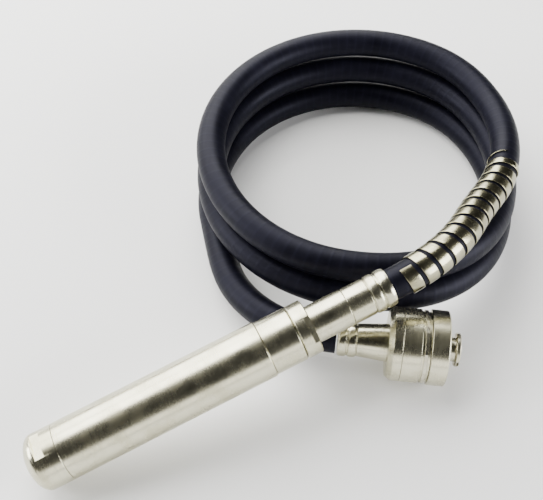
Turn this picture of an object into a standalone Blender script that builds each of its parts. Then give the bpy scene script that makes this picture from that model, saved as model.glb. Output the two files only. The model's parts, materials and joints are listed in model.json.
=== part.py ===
"""Concrete vibrator: a steel poker head on a coiled flexible drive hose, with its drive coupling.

Metres, +Z up. +X runs along the drive coupling's axis and out of its mouth. The origin is on the
floor, under the middle of the poker head. The hose lies in a coil, the head rests on the floor by
its nose and on the coil by its hose end, and the coupling lies on the floor beside the coil.
"""

import math

import bmesh
import bpy
import numpy as np
from mathutils import Matrix, Vector

GAP = 0.0003  # clearance between neighbouring pieces
SEGMENTS = 28  # round shells
INNER_SEGMENTS = 20  # small and hidden round pieces

# Where the head lies: a point on its axis near the nose, its heading and its tilt.
HEAD_POINT = Vector((-0.16002, -0.09356, 0.02874))
HEAD_YAW = math.radians(30.87)
HEAD_TILT = math.radians(12.0)

# The head, along its axis from HEAD_POINT towards the hose.
HEAD_R = 0.030
CASING_BORE_R = 0.0255
NOSE_DEPTH = 0.015
NOSE_SHOULDER = 0.0029
CAP_END = 0.0259
CASING_END = 0.2483
REAR_R = 0.0288
REAR_GROOVE = 0.2834
REAR_END = 0.3004
NECK_R = 0.0199
NECK_BORE_R = 0.0125
NECK_SEAM = 0.3417
FERRULE_START = 0.3669
FERRULE_END = 0.3900
SPANNER_FLAT_DEPTH = 0.0036
CAP_FLAT_ANGLE = math.radians(83.0)
REAR_FLAT_ANGLE = math.radians(127.0)

# The rotor inside the head.
SHAFT_R = 0.0100
WEIGHT_R = 0.0225
WEIGHT_START = 0.0620
WEIGHT_END = 0.1900
FRONT_BEARING = 0.0400
REAR_BEARING = 0.1960
BEARING_WIDTH = 0.0150
BEARING_OUTER_R = 0.0252
SPACER_WIDTH = 0.0080
SEAL_START = 0.2240
CORE_R = 0.0065

# The hose and the coil it lies in. The coil's lower turns lie a little nearer the front, and its
# right side is drawn in by DRAWN_IN times the square of the distance beyond DRAWN_FROM.
HOSE_R = 0.0170
COIL_R = 0.1830
COIL_CENTRE = Vector((0.1332, 0.3236, 0.0))
TURN_PITCH = 0.0343
TURN_SHIFT = Vector((0.0010, -0.0120, 0.0))
TOP_LEVEL = 2
DRAWN_IN = 1.1
DRAWN_FROM = 0.06
LEAD_JOIN = math.radians(34.0)  # where the lead runs into the coil's top turn
TAIL_JOIN = math.radians(205.1)  # where the tail leaves the coil's bottom turn
RAMP_START = math.radians(265.0)  # each turn drops to the level below over this stretch
RAMP_END = math.radians(394.0)

# Route of the two uncoiled stretches, measured from the coil's centre on the floor.
LEAD_ROUTE = [
    (0.0342, -0.2215, 0.1099),
    (0.0605, -0.2058, 0.1164),
    (0.0895, -0.1780, 0.1190),
    (0.1108, -0.1450, 0.1150),
    (0.1250, -0.1080, 0.1065),
    (0.1411, -0.0785, 0.1015),
    (0.1559, -0.0485, 0.0975),
    (0.1656, -0.0075, 0.0940),
    (0.1649, 0.0400, 0.0895),
    (0.1544, 0.0800, 0.0860),
    (0.1425, 0.1023, 0.0856),
]
TAIL_ROUTE = [
    (-0.1720, -0.0806, 0.0170),
    (-0.1620, -0.1113, 0.0175),
    (-0.1515, -0.1437, 0.0195),
    (-0.1385, -0.1735, 0.0230),
    (-0.1207, -0.1980, 0.0273),
    (-0.0981, -0.2183, 0.0320),
    (-0.0719, -0.2335, 0.0362),
    (-0.0480, -0.2417, 0.0392),
    (-0.0280, -0.2454, 0.0404),
    (-0.0123, -0.2460, 0.0405),
]

# The anti-kink guard: a flat steel band wound on the hose beside the head.
GUARD_START = 0.0135
GUARD_PITCH = 0.0175
GUARD_TURNS = 13
GUARD_WIDTH = 0.0128
GUARD_THICKNESS = 0.0015
GUARD_STEPS = 16

# The drive coupling, along +X from the end of the hose.
DRIVE_START = Vector((COIL_CENTRE.x - 0.0119, COIL_CENTRE.y - 0.2460, 0.0405))
FERRULE2_LENGTH = 0.0204
NECK2_BORE_R = 0.0110
HOUSING_R = 0.0393
HOUSING_START = 0.0524
HOUSING_SEAM = 0.0673
HOUSING_END = 0.0864
GROOVE_END = 0.0959
FRONT_R = 0.0402
FRONT_END = 0.1151
MOUTH_R = 0.0345
SPINDLE_R = 0.0100
DOG_R = 0.0180
DOG_START = 0.1160
DOG_END = 0.1288

MATERIALS = {
    "polished_steel": ((0.68, 0.66, 0.56), 0.22, 1.0),
    "machined_steel": ((0.60, 0.58, 0.50), 0.30, 1.0),
    "band_steel": ((0.52, 0.50, 0.42), 0.32, 1.0),
    "bearing_steel": ((0.62, 0.63, 0.65), 0.20, 1.0),
    "shaft_steel": ((0.45, 0.45, 0.44), 0.35, 1.0),
    "cast_weight": ((0.22, 0.22, 0.22), 0.60, 0.8),
    "cage_brass": ((0.72, 0.56, 0.26), 0.35, 1.0),
    "seal_rubber": ((0.02, 0.02, 0.02), 0.70, 0.0),
    "hose_rubber": ((0.012, 0.012, 0.020), 0.45, 0.0),
}


def clear_scene():
    for obj in list(bpy.data.objects):
        bpy.data.objects.remove(obj)


def make_collection(name):
    collection = bpy.data.collections.new(name)
    bpy.context.scene.collection.children.link(collection)
    return collection


def make_material(name):
    colour, roughness, metallic = MATERIALS[name]
    material = bpy.data.materials.new(name)
    material.use_nodes = True
    shader = material.node_tree.nodes["Principled BSDF"]
    shader.inputs["Base Color"].default_value = (*colour, 1.0)
    shader.inputs["Roughness"].default_value = roughness
    shader.inputs["Metallic"].default_value = metallic
    return material


clear_scene()
parts = make_collection("concrete_vibrator")
cutters = make_collection("cutters")
materials = {name: make_material(name) for name in MATERIALS}


def make_axis(name, matrix):
    """An empty whose local +Z is an axis of the assembly."""
    empty = bpy.data.objects.new(name, None)
    parts.objects.link(empty)
    empty.matrix_world = matrix
    return empty


def head_matrix():
    along = Vector((
        math.cos(HEAD_YAW) * math.cos(HEAD_TILT),
        math.sin(HEAD_YAW) * math.cos(HEAD_TILT),
        math.sin(HEAD_TILT),
    ))
    side = Vector((-math.sin(HEAD_YAW), math.cos(HEAD_YAW), 0.0))
    over = along.cross(side)
    turn = Matrix((side, over, along)).transposed().to_4x4()
    return Matrix.Translation(HEAD_POINT) @ turn


def drive_matrix():
    turn = Matrix(((0, 0, 1), (0, 1, 0), (-1, 0, 0))).to_4x4()
    return Matrix.Translation(DRIVE_START) @ turn


head_axis = make_axis("head_axis", head_matrix())
drive_axis = make_axis("drive_axis", drive_matrix())


def add_part(name, data, material, parent=None):
    obj = bpy.data.objects.new(name, data)
    data.materials.append(materials[material])
    parts.objects.link(obj)
    obj.parent = parent
    return obj


def mesh_from(name, points, edges=(), faces=()):
    mesh = bpy.data.meshes.new(name)
    mesh.from_pydata(points, edges, faces)
    mesh.update()
    return mesh


def revolve(name, profile, material, parent, closed=True, steps=SEGMENTS):
    """A turned piece. The profile's (radius, height) points run from the top down the outer side."""
    points = [(radius, 0.0, height) for radius, height in profile]
    edges = [(i, i + 1) for i in range(len(points) - 1)]
    if closed:
        edges.append((len(points) - 1, 0))
    obj = add_part(name, mesh_from(name, points, edges), material, parent)
    screw = obj.modifiers.new("turned", "SCREW")
    screw.axis = "Z"
    screw.angle = math.tau
    screw.steps = steps
    screw.render_steps = steps
    screw.use_merge_vertices = True
    screw.merge_threshold = 0.00001
    screw.use_smooth_shade = True
    return obj


def turned_solid(name, profile, material, parent, steps=SEGMENTS):
    """A turned piece that is solid on its axis."""
    top, bottom = profile[0][1], profile[-1][1]
    return revolve(name, [(0.0, top), *profile, (0.0, bottom)], material, parent, False, steps)


def ring(name, outer, inner, start, end, material, parent, chamfer=0.0, steps=INNER_SEGMENTS):
    """A sleeve between two radii, with its outer edges chamfered where chamfer isn't 0."""
    if chamfer:
        profile = [
            (outer - chamfer, end),
            (outer, end - chamfer),
            (outer, start + chamfer),
            (outer - chamfer, start),
        ]
    else:
        profile = [(outer, end), (outer, start)]
    return revolve(name, [*profile, (inner, start), (inner, end)], material, parent, True, steps)


def add_cutter(name, size, centre, matrix):
    """A box for a Boolean, in the frame of an axis."""
    mesh = bpy.data.meshes.new(name)
    shape = bmesh.new()
    bmesh.ops.create_cube(shape, size=1.0)
    bmesh.ops.scale(shape, vec=size, verts=shape.verts)
    bmesh.ops.translate(shape, vec=centre, verts=shape.verts)
    bmesh.ops.recalc_face_normals(shape, faces=shape.faces)
    shape.to_mesh(mesh)
    shape.free()
    cutter = bpy.data.objects.new(name, mesh)
    cutters.objects.link(cutter)
    cutter.matrix_world = matrix
    cutter.hide_render = True
    cutter.display_type = "WIRE"
    return cutter


def cut(obj, cutter):
    boolean = obj.modifiers.new(cutter.name, "BOOLEAN")
    boolean.operation = "DIFFERENCE"
    boolean.solver = "EXACT"
    boolean.object = cutter


def cut_spanner_flats(obj, radius, start, end, angle):
    """Two flats across the piece for a spanner, the first facing angle round the head's axis."""
    for side in range(2):
        facing = head_matrix() @ Matrix.Rotation(angle + side * math.pi, 4, "Z")
        depth = 0.01
        centre = (radius - SPANNER_FLAT_DEPTH + depth / 2, 0.0, (start + end) / 2)
        size = (depth, 0.06, end - start)
        cut(obj, add_cutter(f"{obj.name}_flat_{side}", size, centre, facing))


def smooth_route(points, per_leg):
    """Points on the cubic B-spline that starts and ends on the first and last route points."""
    route = [Vector(point) for point in points]
    route = [2 * route[0] - route[1], *route, 2 * route[-1] - route[-2]]
    curve = []
    for a, b, c, d in zip(route, route[1:], route[2:], route[3:]):
        for step in range(per_leg):
            t = step / per_leg
            curve.append(
                (
                    a * (1 - t) ** 3
                    + b * (3 * t**3 - 6 * t**2 + 4)
                    + c * (-3 * t**3 + 3 * t**2 + 3 * t + 1)
                    + d * t**3
                )
                / 6
            )
    curve.append(Vector(points[-1]))
    return curve


def trim(curve, start_gap, end_gap):
    """The curve pulled back along its ends."""
    curve = list(curve)
    curve[0] = curve[0] + (curve[1] - curve[0]).normalized() * start_gap
    curve[-1] = curve[-1] + (curve[-2] - curve[-1]).normalized() * end_gap
    return curve


def tube(name, curve_points, radius, material):
    """A solid tube along points, with flat closed ends."""
    data = bpy.data.curves.new(name, "CURVE")
    data.dimensions = "3D"
    data.bevel_depth = radius
    data.bevel_resolution = 3
    data.use_fill_caps = True
    spline = data.splines.new("POLY")
    spline.points.add(len(curve_points) - 1)
    for point, place in zip(spline.points, curve_points):
        point.co = (*place, 1.0)
    spline.use_smooth = True
    return add_part(name, data, material)


def extrude_section(name, outline, start, end, material, parent):
    """A prism whose outline lies across the parent axis."""
    count = len(outline)
    points = [(x, y, start) for x, y in outline] + [(x, y, end) for x, y in outline]
    faces = [tuple(reversed(range(count))), tuple(range(count, 2 * count))]
    for i in range(count):
        j = (i + 1) % count
        faces.append((i, j, count + j, count + i))
    return add_part(name, mesh_from(name, points, (), faces), material, parent)


def nose_cap():
    spigot_r = CASING_BORE_R - GAP
    dome = []
    for step in range(6):
        angle = math.radians(90 - 90 * step / 6)
        dome.append((
            HEAD_R * math.sin(angle),
            NOSE_SHOULDER - NOSE_DEPTH * math.cos(angle),
        ))
    profile = [
        (spigot_r - 0.001, CAP_END + 0.010),
        (spigot_r, CAP_END + 0.009),
        (spigot_r, CAP_END + 0.0045),
        (spigot_r - 0.002, CAP_END + 0.0045),
        (spigot_r - 0.002, CAP_END + 0.0020),
        (spigot_r, CAP_END + 0.0020),
        (spigot_r, CAP_END - GAP),
        (HEAD_R - 0.0003, CAP_END - GAP),
        (HEAD_R, CAP_END - 2 * GAP),
        *dome,
    ]
    nose = (0.0, NOSE_SHOULDER - NOSE_DEPTH)
    outline = [(0.0, CAP_END + 0.010), *profile, nose]
    cap = revolve("nose_cap", outline, "polished_steel", head_axis, False, 32)
    cut_spanner_flats(cap, HEAD_R, 0.0035, 0.0130, CAP_FLAT_ANGLE)
    spigot_groove_r = spigot_r - 0.002
    ring("cap_o_ring", CASING_BORE_R - GAP, spigot_groove_r + GAP, CAP_END + 0.0023,
         CAP_END + 0.0042, "seal_rubber", head_axis)


def casing_tube():
    profile = [
        (HEAD_R - 0.0004, CASING_END),
        (HEAD_R, CASING_END - 0.0004),
        (HEAD_R, CAP_END + 0.0004),
        (HEAD_R - 0.0004, CAP_END),
        (CASING_BORE_R, CAP_END),
        (CASING_BORE_R, CASING_END),
    ]
    revolve("casing_tube", profile, "polished_steel", head_axis, True, 32)


def rear_housing():
    """The piece screwed into the casing's rear, which holds the neck tube."""
    spigot_r = CASING_BORE_R - GAP
    spigot_front = CASING_END - 0.014
    bore_r = 0.0185
    profile = [
        (REAR_R - 0.0008, REAR_GROOVE - 0.0006),
        (REAR_R, REAR_GROOVE - 0.0014),
        (REAR_R, CASING_END + GAP + 0.0005),
        (REAR_R - 0.0005, CASING_END + GAP),
        (spigot_r, CASING_END + GAP),
        (spigot_r, spigot_front + 0.0062),
        (spigot_r - 0.002, spigot_front + 0.0062),
        (spigot_r - 0.002, spigot_front + 0.0035),
        (spigot_r, spigot_front + 0.0035),
        (spigot_r, spigot_front),
        (bore_r, spigot_front),
        (bore_r, REAR_GROOVE - 0.0006),
    ]
    revolve("rear_housing", profile, "polished_steel", head_axis, True, 32)
    ring("rear_o_ring", CASING_BORE_R - GAP, spigot_r - 0.002 + GAP, spigot_front + 0.0038,
         spigot_front + 0.0059, "seal_rubber", head_axis)


def lock_collar():
    """The collar behind the rear housing, with flats for a spanner."""
    start = REAR_GROOVE + 0.0002
    profile = [
        (REAR_R - 0.0010, REAR_END),
        (REAR_R, REAR_END - 0.0010),
        (REAR_R, start + 0.0012),
        (REAR_R - 0.0012, start),
        (NECK_R + GAP, start),
        (NECK_R + GAP, REAR_END),
    ]
    collar = revolve("lock_collar", profile, "polished_steel", head_axis, True, 32)
    cut_spanner_flats(collar, REAR_R, REAR_END - 0.0055, REAR_END + 0.01, REAR_FLAT_ANGLE)


def neck_tube():
    """The tube between the head and the hose, whose spigot sits in the rear housing."""
    spigot_front = CASING_END + 0.012
    profile = [
        (NECK_R - 0.0004, NECK_SEAM),
        (NECK_R, NECK_SEAM - 0.0004),
        (NECK_R, REAR_GROOVE + 0.0002),
        (0.0182, REAR_GROOVE + 0.0002),
        (0.0182, spigot_front),
        (NECK_BORE_R, spigot_front),
        (NECK_BORE_R, NECK_SEAM),
    ]
    revolve("neck_tube", profile, "polished_steel", head_axis, True, SEGMENTS)


def hose_adaptor():
    profile = [
        (NECK_R - 0.0008, FERRULE_START - GAP),
        (NECK_R - 0.0002, FERRULE_START - 0.0009),
        (NECK_R - 0.0002, NECK_SEAM + 0.0007),
        (NECK_R - 0.0006, NECK_SEAM + GAP),
        (NECK_BORE_R, NECK_SEAM + GAP),
        (NECK_BORE_R, FERRULE_START - GAP),
    ]
    revolve("hose_adaptor", profile, "polished_steel", head_axis, True, SEGMENTS)


def beads(start, end, low, high, count):
    """Outer points of a crimped ferrule from its end down to its start, rounded between grooves."""
    pitch = (end - start) / count
    points = []
    for bead in reversed(range(count)):
        foot = start + bead * pitch
        for fraction, lift in ((0.94, 0.0), (0.76, 0.9), (0.24, 0.9), (0.06, 0.0)):
            points.append((low + (high - low) * lift, foot + pitch * fraction))
    return points


def head_ferrule():
    outline = beads(FERRULE_START, FERRULE_END, 0.0190, 0.0207, 2)
    profile = [
        (0.0196, FERRULE_END),
        *outline[1:],
        (0.0190, FERRULE_START),
        (NECK_BORE_R, FERRULE_START),
        (NECK_BORE_R, FERRULE_END),
    ]
    revolve("head_ferrule", profile, "polished_steel", head_axis, True, SEGMENTS)


def bearing(prefix, start, width, outer, inner, parent):
    """A ball bearing as three pieces: its outer race, its inner race, and its balls in their cage."""
    wall = 0.24 * (outer - inner)
    middle = (outer + inner) / 2
    ball_r = 0.46 * (outer - inner) / 2
    centre = start + width / 2
    ring(f"{prefix}_outer_race", outer, outer - wall, start, start + width, "bearing_steel", parent)
    ring(f"{prefix}_inner_race", inner + wall, inner, start, start + width, "bearing_steel", parent)
    cage = ring(f"{prefix}_ball_cage", middle + 0.0011, middle - 0.0011, centre - 0.0022,
                centre + 0.0022, "cage_brass", parent)
    shape = bmesh.new()
    for ball in range(7):
        angle = math.tau * ball / 7
        place = Matrix.Translation((
            middle * math.cos(angle),
            middle * math.sin(angle),
            centre,
        ))
        bmesh.ops.create_icosphere(shape, subdivisions=1, radius=ball_r, matrix=place)
    mesh = bpy.data.meshes.new(f"{prefix}_balls")
    shape.to_mesh(mesh)
    shape.free()
    balls = bpy.data.objects.new(mesh.name, mesh)
    cutters.objects.link(balls)
    balls.parent = parent
    balls.hide_render = True
    balls.display_type = "WIRE"
    union = cage.modifiers.new("balls", "BOOLEAN")
    union.operation = "UNION"
    union.solver = "EXACT"
    union.object = balls


def rotor_shaft():
    """The shaft that carries the weight: journals in both bearings and a shoulder behind each."""
    end = CASING_END + 0.006
    journal = SHAFT_R - GAP
    profile = [
        (0.0070, end),
        (0.0070, SEAL_START + 0.012),
        (0.0085, SEAL_START + 0.011),
        (journal, SEAL_START),
        (journal, FRONT_BEARING - 0.002),
        (0.0085, FRONT_BEARING - 0.0035),
    ]
    turned_solid("rotor_shaft", profile, "shaft_steel", head_axis, INNER_SEGMENTS)


def eccentric_weight():
    """Half a disc of steel bored for the shaft, hanging below it at rest."""
    bore = SHAFT_R + GAP
    hub = 0.0140
    outline = []
    for step in range(13):
        angle = math.pi + math.pi * step / 12
        outline.append((WEIGHT_R * math.cos(angle), WEIGHT_R * math.sin(angle)))
    for step in range(9):
        angle = math.pi * step / 8
        outline.append((hub * math.cos(angle), hub * math.sin(angle)))
    weight = extrude_section(
        "eccentric_weight", outline, WEIGHT_START, WEIGHT_END, "cast_weight", head_axis
    )
    mesh = bpy.data.meshes.new("weight_bore")
    shape = bmesh.new()
    length = WEIGHT_END - WEIGHT_START + 0.02
    place = Matrix.Translation((0.0, 0.0, (WEIGHT_START + WEIGHT_END) / 2))
    bmesh.ops.create_cone(shape, cap_ends=True, segments=INNER_SEGMENTS, radius1=bore,
                          radius2=bore, depth=length, matrix=place)
    shape.to_mesh(mesh)
    shape.free()
    cutter = bpy.data.objects.new("weight_bore", mesh)
    cutters.objects.link(cutter)
    cutter.parent = head_axis
    cutter.hide_render = True
    cutter.display_type = "WIRE"
    cut(weight, cutter)


def rotor():
    rotor_shaft()
    eccentric_weight()
    bearing("front", FRONT_BEARING, BEARING_WIDTH, BEARING_OUTER_R, SHAFT_R, head_axis)
    bearing("rear", REAR_BEARING, BEARING_WIDTH, BEARING_OUTER_R, SHAFT_R, head_axis)
    spacer_start = REAR_BEARING + BEARING_WIDTH + GAP
    ring("bearing_spacer", BEARING_OUTER_R, 0.0185, spacer_start, spacer_start + SPACER_WIDTH,
         "machined_steel", head_axis)
    ring("rotor_seal", BEARING_OUTER_R, SHAFT_R + GAP, SEAL_START - 0.0035, SEAL_START - 0.0003,
         "seal_rubber", head_axis)
    core_start = CASING_END + 0.006 + GAP
    profile = [
        (CORE_R - 0.0008, FERRULE_END - 0.0006),
        (CORE_R, FERRULE_END - 0.0014),
        (CORE_R, core_start + 0.0215),
        (0.0090, core_start + 0.0205),
        (0.0090, core_start + 0.0008),
        (0.0082, core_start),
    ]
    turned_solid("core_head_end", profile, "shaft_steel", head_axis, 16)


def turn_level(angle):
    """The height of the hose in turns above the floor, at an angle counted on from the top turn."""
    turn = math.floor((angle - RAMP_START) / math.tau)
    within = angle - RAMP_START - turn * math.tau
    share = min(within / (RAMP_END - RAMP_START), 1.0)
    return TOP_LEVEL - turn - share * share * (3 - 2 * share)


def drawn_in(point):
    """A point of a round coil, measured from its centre, moved to where the drawn-in side has it."""
    beyond = max(point.x - DRAWN_FROM, 0.0)
    return point - Vector((DRAWN_IN * beyond**2, 0.0, 0.0))


def turn_centre(angle, level):
    """The hose's centre on the coil, at an angle round COIL_CENTRE and a level."""
    out = Vector((math.cos(angle), math.sin(angle), 0.0))
    along = Vector((-out.y, out.x, 0.0))
    shift = TURN_SHIFT * (TOP_LEVEL - level)
    reach = shift.dot(out) + math.sqrt(COIL_R**2 - shift.dot(along) ** 2)
    rise = Vector((0.0, 0.0, HOSE_R + TURN_PITCH * level))
    return COIL_CENTRE + drawn_in(out * reach) + rise


def hose_lead():
    curve = [COIL_CENTRE + point for point in smooth_route(LEAD_ROUTE, 3)]
    tube("hose_lead", trim(curve, GAP, GAP), HOSE_R, "hose_rubber")


def hose_tail():
    curve = [COIL_CENTRE + point for point in smooth_route(TAIL_ROUTE, 2)]
    tube("hose_tail", trim(curve, 0.0026, 0.0012), HOSE_R, "hose_rubber")


def coil_section(angle, low, high):
    """The outline of the turns that lie above each other between two levels."""
    bottom = turn_centre(angle, low)
    top = turn_centre(angle, high)
    up = (top - bottom).normalized()
    beyond = max(COIL_R * math.cos(angle) - DRAWN_FROM, 0.0)
    slope = 1 - 2 * DRAWN_IN * beyond
    out = Vector((math.cos(angle), math.sin(angle) * slope, 0.0))
    out = (out - up * out.dot(up)).normalized()
    points = []
    for step in range(8):
        swing = math.pi * step / 7
        points.append(top + (out * math.cos(swing) + up * math.sin(swing)) * HOSE_R)
    for step in range(8):
        swing = math.pi + math.pi * step / 7
        points.append(bottom + (out * math.cos(swing) + up * math.sin(swing)) * HOSE_R)
    return points


def hose_coil():
    """The outer shape of the coil, with a step where the lead and the tail join it."""
    sliver = math.radians(0.1)
    stretches = (
        (LEAD_JOIN + 3 * sliver, TAIL_JOIN - 3 * sliver, 2 * math.tau),
        (TAIL_JOIN - sliver, LEAD_JOIN + math.tau + sliver, math.tau),
    )
    rings = []
    for start, end, turns_below in stretches:
        steps = round(math.degrees(end - start) / 9)
        for step in range(steps + 1):
            angle = start + (end - start) * step / steps
            low = turn_level(angle + turns_below)
            rings.append(coil_section(angle, low, turn_level(angle)))
    size = len(rings[0])
    points = [point for section in rings for point in section]
    faces = []
    for k in range(len(rings)):
        here, ahead = k * size, (k + 1) % len(rings) * size
        for i in range(size):
            j = (i + 1) % size
            faces.append((here + i, ahead + i, ahead + j, here + j))
    mesh = mesh_from("hose_coil", points, (), faces)
    shape = bmesh.new()
    shape.from_mesh(mesh)
    bmesh.ops.recalc_face_normals(shape, faces=shape.faces)
    shape.to_mesh(mesh)
    shape.free()
    add_part("hose_coil", mesh, "hose_rubber")


def carried_frames(curve):
    """The tangent and a normal at each point, the normal carried along without twist."""
    frames = []
    normal = Vector((0.0, 0.0, 1.0))
    for i in range(len(curve)):
        ahead = curve[min(i + 1, len(curve) - 1)]
        behind = curve[max(i - 1, 0)]
        tangent = (ahead - behind).normalized()
        normal = (normal - tangent * normal.dot(tangent)).normalized()
        frames.append((tangent, normal))
    return frames


def guard_band():
    """A right-handed helix of flat band round the lead, pointed at its far end."""
    curve = [COIL_CENTRE + point for point in smooth_route(LEAD_ROUTE, 24)]
    frames = carried_frames(curve)
    lengths = np.concatenate(
        ([0.0], np.cumsum([(b - a).length for a, b in zip(curve, curve[1:])]))
    )
    places = np.array(curve)
    normals = np.array([normal for _, normal in frames])
    tangents = np.array([tangent for tangent, _ in frames])

    def on_band(distance, turn, radius):
        place, normal, tangent = (
            Vector([np.interp(distance, lengths, column) for column in table.T])
            for table in (places, normals, tangents)
        )
        side = tangent.cross(normal)
        return place + (normal * math.cos(turn) + side * math.sin(turn)) * radius

    inner = (HOSE_R + GAP) / math.cos(math.pi / GUARD_STEPS)
    outer = inner + GUARD_THICKNESS
    total = GUARD_TURNS * GUARD_STEPS
    points = []
    for step in range(total + 1):
        turn = math.tau * step / GUARD_STEPS
        left = GUARD_STEPS + step
        right = total - step + 1
        half = GUARD_WIDTH / 2 * min(1.0, left / GUARD_STEPS, right / (1.5 * GUARD_STEPS))
        middle = GUARD_START + GUARD_WIDTH / 2 + GUARD_PITCH * step / GUARD_STEPS
        for radius, offset in ((inner, -half), (outer, -half), (outer, half), (inner, half)):
            points.append(on_band(middle + offset, turn, radius))
    faces = [(3, 2, 1, 0)]
    for step in range(total):
        base = 4 * step
        for i in range(4):
            j = (i + 1) % 4
            faces.append((base + i, base + j, base + 4 + j, base + 4 + i))
    last = 4 * total
    faces.append((last, last + 1, last + 2, last + 3))
    mesh = mesh_from("guard_band", points, (), faces)
    shape = bmesh.new()
    shape.from_mesh(mesh)
    bmesh.ops.recalc_face_normals(shape, faces=shape.faces)
    shape.to_mesh(mesh)
    shape.free()
    add_part("guard_band", mesh, "band_steel")


def drive_ferrule():
    outline = beads(0.0, FERRULE2_LENGTH, 0.0178, 0.0192, 2)
    profile = [
        (0.0178, FERRULE2_LENGTH),
        *outline,
        (0.0182, 0.0),
        (NECK2_BORE_R, 0.0),
        (NECK2_BORE_R, FERRULE2_LENGTH),
    ]
    revolve("drive_ferrule", profile, "polished_steel", drive_axis, True, SEGMENTS)


def drive_neck():
    """The tube that flares into the coupling, with a flange behind the back cover."""
    start = FERRULE2_LENGTH + GAP
    flange = HOUSING_START + 0.0100
    end = flange + 0.0040
    profile = [
        (0.0250, end),
        (0.0250, flange),
        (0.0203, flange),
        (0.0203, HOUSING_START),
        (0.0176, start),
        (NECK2_BORE_R, start),
        (NECK2_BORE_R, end),
    ]
    revolve("drive_neck", profile, "polished_steel", drive_axis, True, SEGMENTS)


def back_cover():
    profile = [
        (HOUSING_R - 0.0003, HOUSING_SEAM - GAP),
        (HOUSING_R, HOUSING_SEAM - 0.0006),
        (HOUSING_R, HOUSING_START + 0.0053),
        (HOUSING_R - 0.0040, HOUSING_START),
        (0.0206, HOUSING_START),
        (0.0206, HOUSING_START + 0.0097),
        (0.0340, HOUSING_START + 0.0097),
        (0.0340, HOUSING_SEAM - GAP),
    ]
    revolve("back_cover", profile, "polished_steel", drive_axis, True, 32)


def coupling_housing():
    """The coupling's body: a shell with a wall behind the bearing and a groove for the lock ring."""
    profile = [
        (0.0345, GROOVE_END),
        (0.0370, GROOVE_END),
        (0.0370, HOUSING_END),
        (HOUSING_R, HOUSING_END),
        (HOUSING_R, HOUSING_SEAM + 0.0003),
        (HOUSING_R - 0.0003, HOUSING_SEAM),
        (0.0160, HOUSING_SEAM),
        (0.0160, HOUSING_SEAM + 0.0040),
        (0.0262, HOUSING_SEAM + 0.0040),
        (0.0262, HOUSING_SEAM + 0.0200),
        (0.0345, HOUSING_SEAM + 0.0200),
    ]
    revolve("coupling_housing", profile, "polished_steel", drive_axis, True, 32)


def front_ring():
    """The threaded ring at the mouth, which slides on the housing and rests on the floor."""
    start = GROOVE_END + GAP
    profile = [
        (MOUTH_R + 0.0008, FRONT_END),
        (FRONT_R - 0.0012, FRONT_END),
        (FRONT_R, FRONT_END - 0.0012),
        (FRONT_R, start + 0.0008),
        (FRONT_R - 0.0008, start),
        (MOUTH_R, start),
        (MOUTH_R, FRONT_END - 0.0008),
    ]
    revolve("front_ring", profile, "polished_steel", drive_axis, True, 32)


def inner_sleeve():
    """The bright sleeve in the mouth, with a wall that closes the bearing's seat."""
    start = HOUSING_SEAM + 0.0200 + GAP
    profile = [
        (0.0316, FRONT_END - 0.0030),
        (MOUTH_R - GAP, FRONT_END - 0.0036),
        (MOUTH_R - GAP, start),
        (0.0150, start),
        (0.0150, start + 0.0030),
        (0.0308, start + 0.0030),
        (0.0308, FRONT_END - 0.0030),
    ]
    revolve("inner_sleeve", profile, "machined_steel", drive_axis, True, 32)


def drive_spindle():
    start = HOUSING_START + 0.0040
    journal = SPINDLE_R - GAP
    profile = [
        (0.0070, DOG_END - 0.0040),
        (0.0070, DOG_START - 0.0100),
        (journal, DOG_START - 0.0105),
        (journal, start + 0.0010),
        (journal - 0.0010, start),
    ]
    turned_solid("drive_spindle", profile, "shaft_steel", drive_axis, INNER_SEGMENTS)
    core_end = start - GAP
    profile = [
        (0.0080, core_end),
        (0.0088, core_end - 0.0008),
        (0.0088, core_end - 0.0200),
        (CORE_R, core_end - 0.0210),
        (CORE_R, 0.0014),
        (CORE_R - 0.0008, 0.0006),
    ]
    turned_solid("core_drive_end", profile, "shaft_steel", drive_axis, 16)


def drive_dog():
    """The flanged dog on the spindle's end, with a slot across its face."""
    bore = 0.0070 + GAP
    profile = [
        (DOG_R - 0.0008, DOG_END),
        (DOG_R, DOG_END - 0.0008),
        (DOG_R, DOG_END - 0.0040),
        (DOG_R - 0.0008, DOG_END - 0.0048),
        (0.0130, DOG_END - 0.0048),
        (0.0130, DOG_START - 0.0095),
        (bore, DOG_START - 0.0095),
        (bore, DOG_END),
    ]
    dog = revolve("drive_dog", profile, "machined_steel", drive_axis, True, SEGMENTS)
    size = (0.0065, 0.05, 0.0060)
    slot = add_cutter("dog_slot", size, (0.0, 0.0, DOG_END), drive_matrix())
    cut(dog, slot)


def coupling_insides():
    bearing_start = HOUSING_SEAM + 0.0045
    bearing("drive", bearing_start, 0.0150, 0.0259, SPINDLE_R, drive_axis)
    ring("spindle_seal", 0.0147, SPINDLE_R + GAP, HOUSING_SEAM + 0.0203, HOUSING_SEAM + 0.0228,
         "seal_rubber", drive_axis)
    ring("snap_ring", 0.0388, 0.0373, HOUSING_END + 0.0028, HOUSING_END + 0.0066,
         "machined_steel", drive_axis, 0.0002, 32)


nose_cap()
casing_tube()
rear_housing()
lock_collar()
neck_tube()
hose_adaptor()
head_ferrule()
rotor()
hose_lead()
hose_coil()
hose_tail()
guard_band()
drive_ferrule()
drive_neck()
back_cover()
coupling_housing()
front_ring()
inner_sleeve()
drive_spindle()
drive_dog()
coupling_insides()
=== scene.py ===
"""Concrete vibrator: what shows of it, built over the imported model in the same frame.

Metres, +Z up. The steel shells are turned again with finer outlines, the guard band is wound again
with rounded edges, and the hose is one tube from the head to the drive coupling.
"""

import json
import math

import bmesh
import bpy
import numpy as np
from mathutils import Matrix, Vector

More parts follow.
